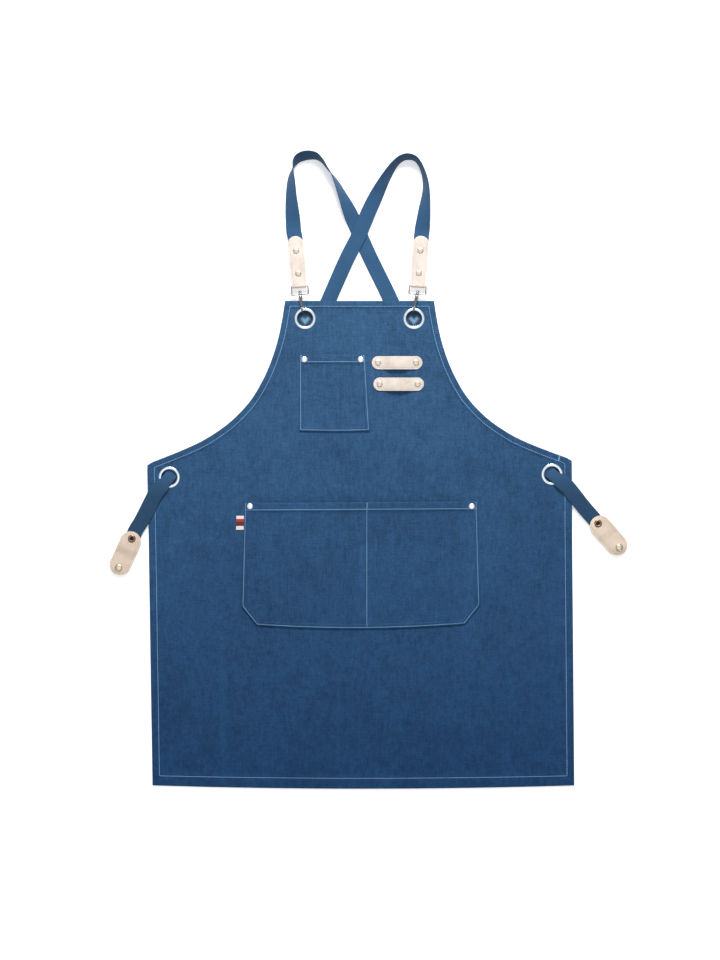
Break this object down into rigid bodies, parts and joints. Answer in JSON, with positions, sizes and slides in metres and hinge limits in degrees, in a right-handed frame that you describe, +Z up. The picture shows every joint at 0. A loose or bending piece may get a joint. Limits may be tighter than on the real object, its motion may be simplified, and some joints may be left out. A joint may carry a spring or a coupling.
{
  "type": "cross back apron",
  "caption": "Cross back canvas apron lying flat, with crossing webbing shoulder straps, snap hooks, leather tabs and tool loops, eyelets and front pockets.",
  "frame": {"origin": "underside of the panel, halfway along its length and on its centre line, on the floor", "axes": "+Y towards the bib's top edge, +Z up out of the front, +X to the side with the tool loops"},
  "size_m": [0.8587, 1.0568, 0.0252],
  "materials": {
    "canvas": "woven cotton canvas, matt",
    "webbing": "woven cotton webbing, matt",
    "leather": "undyed, satin",
    "steel": "nickel plated, bright",
    "hook_metal": "nickel plated, bright",
    "stud_metal": "pale brass, polished",
    "socket_metal": "dark bronze, satin",
    "label": "woven tape with plain stripes"
  },
  "bodies": {
    "root": {"apron_panel": "canvas", "bib_grommet_left": "steel", "bib_grommet_right": "steel", "chest_pocket": "canvas", "chest_rivet_left": "steel", "chest_rivet_right": "steel", "end_tab_left": "leather", "end_tab_right": "leather", "hook_body_left": "hook_metal", "hook_body_right": "hook_metal", "hook_frame_left": "steel", "hook_frame_right": "steel", "hook_tab_left": "leather", "hook_tab_right": "leather", "loop_rivet_lower_left": "steel", "loop_rivet_lower_right": "steel", "loop_rivet_upper_left": "steel", "loop_rivet_upper_right": "steel", "shoulder_strap_left": "webbing", "shoulder_strap_right": "webbing", "side_label": "label", "snap_socket_left": "socket_metal", "snap_socket_right": "socket_metal", "snap_stud_left": "stud_metal", "snap_stud_right": "stud_metal", "tab_rivet_lower_left": "steel", "tab_rivet_lower_right": "steel", "tab_rivet_upper_left": "steel", "tab_rivet_upper_right": "steel", "tool_loop_lower": "leather", "tool_loop_upper": "leather", "waist_grommet_left": "steel", "waist_grommet_right": "steel", "waist_pocket": "canvas", "waist_rivet_left": "steel", "waist_rivet_right": "steel"},
    "gate_left": {"hook_gate_left": "hook_metal"},
    "gate_right": {"hook_gate_right": "hook_metal"}
  },
  "joints": [
    {"name": "hook_gate_left", "type": "hinge", "parent": "root", "child": "gate_left", "pos_m": [-0.09741, 0.40812, 0.0105], "axis": [0.9928, 0.1201, 0], "range_deg": [0, 20], "stiffness_Nm_per_rad": 0.02, "springref_deg": -20.05},
    {"name": "hook_gate_right", "type": "hinge", "parent": "root", "child": "gate_right", "pos_m": [0.09413, 0.40869, 0.0105], "axis": [0.9774, -0.2113, 0], "range_deg": [0, 20], "stiffness_Nm_per_rad": 0.02, "springref_deg": -20.05}
  ]
}
